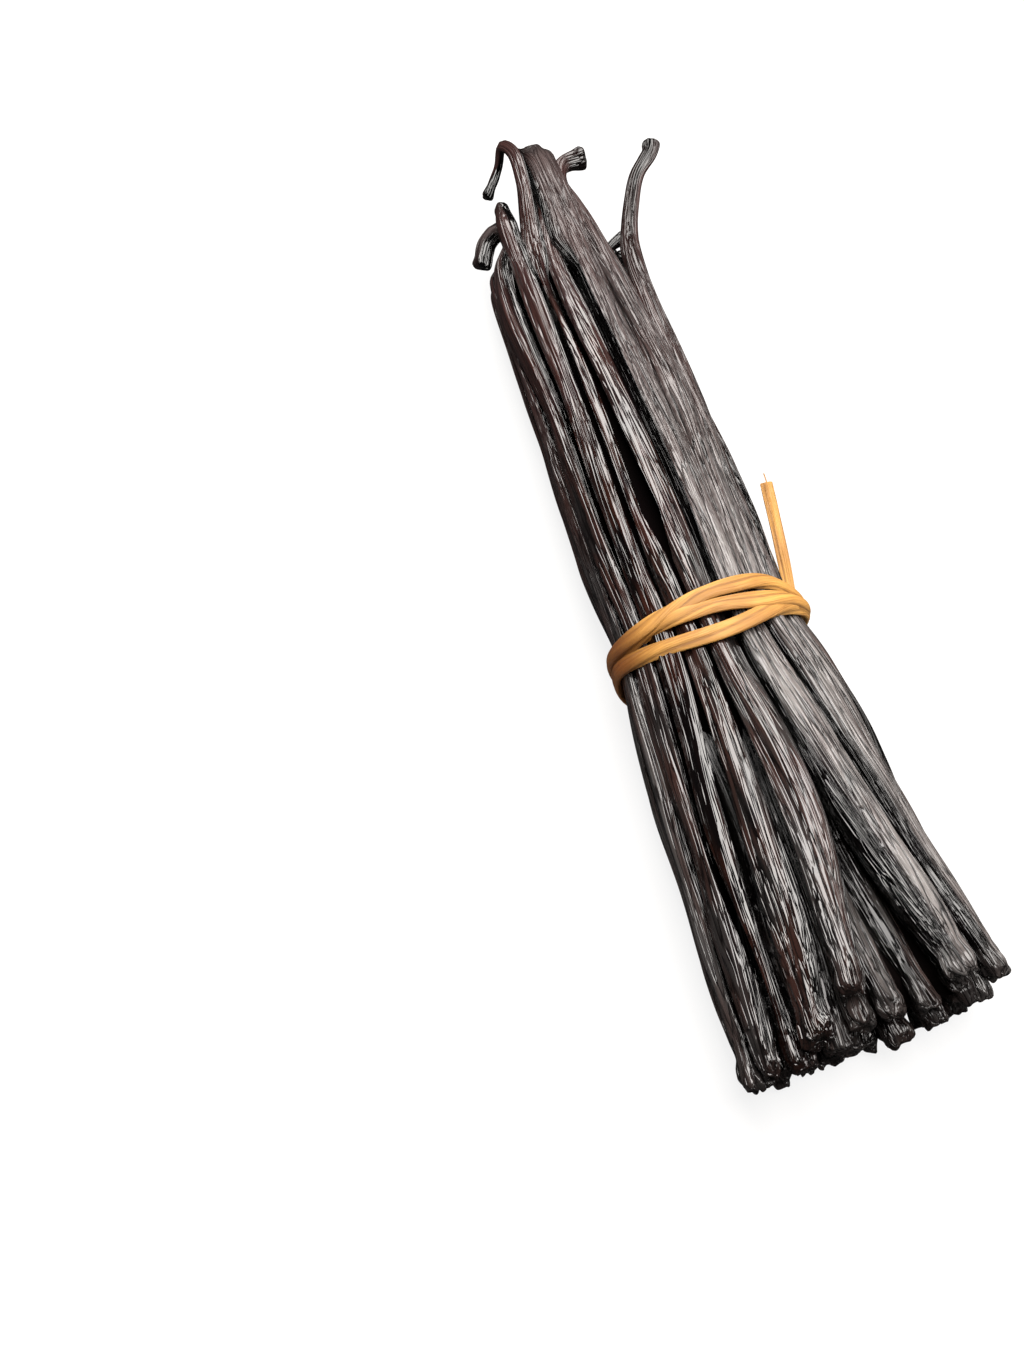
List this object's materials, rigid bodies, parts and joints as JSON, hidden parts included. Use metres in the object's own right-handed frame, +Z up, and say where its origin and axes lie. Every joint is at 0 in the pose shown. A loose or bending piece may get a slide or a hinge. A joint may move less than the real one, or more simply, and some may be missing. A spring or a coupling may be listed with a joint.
{
  "type": "bundle of vanilla pods",
  "caption": "Bundle of long dark cured vanilla pods with curled stems and blunt blossom ends, lying flat, tied round the middle with strands of golden raffia",
  "frame": {"origin": "bottom centre of the bounding box, on the surface that the bundle lies on", "axes": "+Z up, +Y along the bundle towards the curled stem ends, -Y towards the blossom ends, +X to the right seen from the blossom ends"},
  "size_m": [0.0474, 0.1891, 0.0269],
  "materials": {
    "pod_skin": "dark brown to black cured pod skin, oily, with fine lengthwise wrinkles, glossy on the left and a dull grey bloom on the right",
    "raffia": "golden tan dried palm leaf strands with fine lengthwise fibres, slightly shiny"
  },
  "bodies": {
    "root": {"pods": "pod_skin", "raffia_tie": "raffia"}
  },
  "joints": []
}
